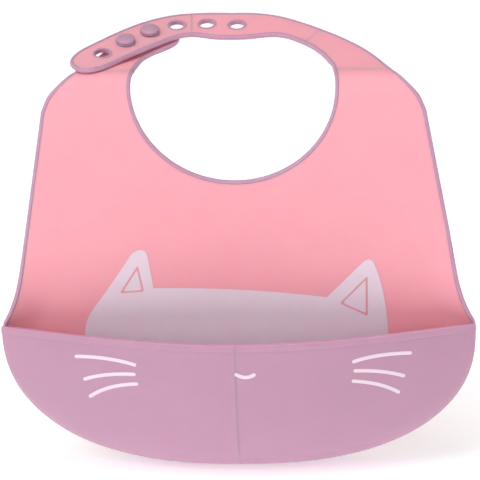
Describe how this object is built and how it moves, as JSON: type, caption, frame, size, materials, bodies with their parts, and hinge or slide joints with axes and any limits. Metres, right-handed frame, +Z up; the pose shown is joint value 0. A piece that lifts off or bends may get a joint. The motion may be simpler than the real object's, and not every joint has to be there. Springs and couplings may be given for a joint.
{
  "type": "baby bib",
  "caption": "Silicone baby bib with a deep catch pocket, curved neck opening, beaded edges and a neck strap that buttons at the back on two knobs, printed with a simple cat face",
  "frame": {"origin": "the middle of the neck loop, level with the shoulders, midway between the chest sheet's front and the back of the loop", "axes": "+Z up as worn, the pocket and printed face towards -Y, the loop's back towards +Y, +X to the right seen from the front"},
  "size_m": [0.2356, 0.1028, 0.2146],
  "materials": {
    "pink_silicone": "matt, slightly translucent",
    "lilac_silicone": "matt, slightly translucent",
    "ink": "matt"
  },
  "bodies": {
    "bib": {"chest_sheet": "pink_silicone", "edge_bead": "lilac_silicone", "neck_bead": "lilac_silicone", "head_print": "ink", "ear_print_left": "ink", "ear_print_right": "ink", "pocket_corner_left": "lilac_silicone", "pocket_corner_right": "lilac_silicone"},
    "pocket_front": {"pocket_front": "lilac_silicone", "smile_print": "ink"},
    "flank_left": {"pocket_flank_left": "lilac_silicone", "whisker_left_1": "ink", "whisker_left_2": "ink", "whisker_left_3": "ink"},
    "flank_right": {"pocket_flank_right": "lilac_silicone", "whisker_right_1": "ink", "whisker_right_2": "ink", "whisker_right_3": "ink"},
    "shoulder_link": {"strap_shoulder": "pink_silicone", "strap_shoulder_bead_inner": "lilac_silicone", "strap_shoulder_bead_outer": "lilac_silicone"},
    "hole_link": {"strap_holes": "pink_silicone", "strap_holes_bead_inner": "lilac_silicone", "strap_holes_bead_outer": "lilac_silicone", "ring_hole_5": "lilac_silicone", "ring_hole_4": "lilac_silicone", "ring_hole_3": "lilac_silicone"},
    "tip_link": {"strap_tip": "pink_silicone", "strap_tip_bead_rim": "lilac_silicone", "ring_knob_2": "lilac_silicone", "ring_knob_1": "lilac_silicone", "ring_hole_1": "lilac_silicone"},
    "knob_link": {"knob_strap": "pink_silicone", "knob_strap_bead_rim": "lilac_silicone", "knob_1": "lilac_silicone", "knob_2": "lilac_silicone"}
  },
  "joints": [
    {"name": "pocket_fold", "type": "hinge", "parent": "bib", "child": "pocket_front", "pos_m": [0, -0.033, -0.201], "axis": [1, 0, 0], "range_deg": [-20, 10], "stiffness_Nm_per_rad": 0.3},
    {"name": "flank_fold_left", "type": "hinge", "parent": "bib", "child": "flank_left", "pos_m": [-0.066, -0.034, -0.191], "axis": [1, 0, 0], "range_deg": [-10, 5]},
    {"name": "flank_fold_right", "type": "hinge", "parent": "bib", "child": "flank_right", "pos_m": [0.066, -0.034, -0.191], "axis": [1, 0, 0], "range_deg": [-10, 5]},
    {"name": "strap_swing", "type": "hinge", "parent": "bib", "child": "shoulder_link", "pos_m": [0.0638, -0.02, -0.0007], "axis": [1, 0, 0], "range_deg": [0, 80], "stiffness_Nm_per_rad": 0.3},
    {"name": "strap_lift", "type": "hinge", "parent": "shoulder_link", "child": "hole_link", "pos_m": [0.00872, 0.02086, 0.00894], "axis": [-0.0124, 0.9702, 0.2419], "range_deg": [0, 75], "stiffness_Nm_per_rad": 0.12, "deforming": ["ring_knob_2", "ring_knob_1"]},
    {"name": "tip_lift", "type": "hinge", "parent": "hole_link", "child": "tip_link", "pos_m": [-0.03709, 0.01667, 0.00853], "axis": [-0.5555, 0.8068, 0.2012], "range_deg": [0, 45]},
    {"name": "knob_strap_flex", "type": "hinge", "parent": "bib", "child": "knob_link", "pos_m": [-0.0638, -0.02, -0.0044], "axis": [1, 0, 0], "range_deg": [-45, 0], "stiffness_Nm_per_rad": 0.12}
  ],
  "couplings": [
    {"joint": "flank_fold_left", "follows": "pocket_fold", "ratio": 0.5},
    {"joint": "flank_fold_right", "follows": "pocket_fold", "ratio": 0.5},
    {"joint": "tip_lift", "follows": "strap_swing", "ratio": 0.5625}
  ]
}
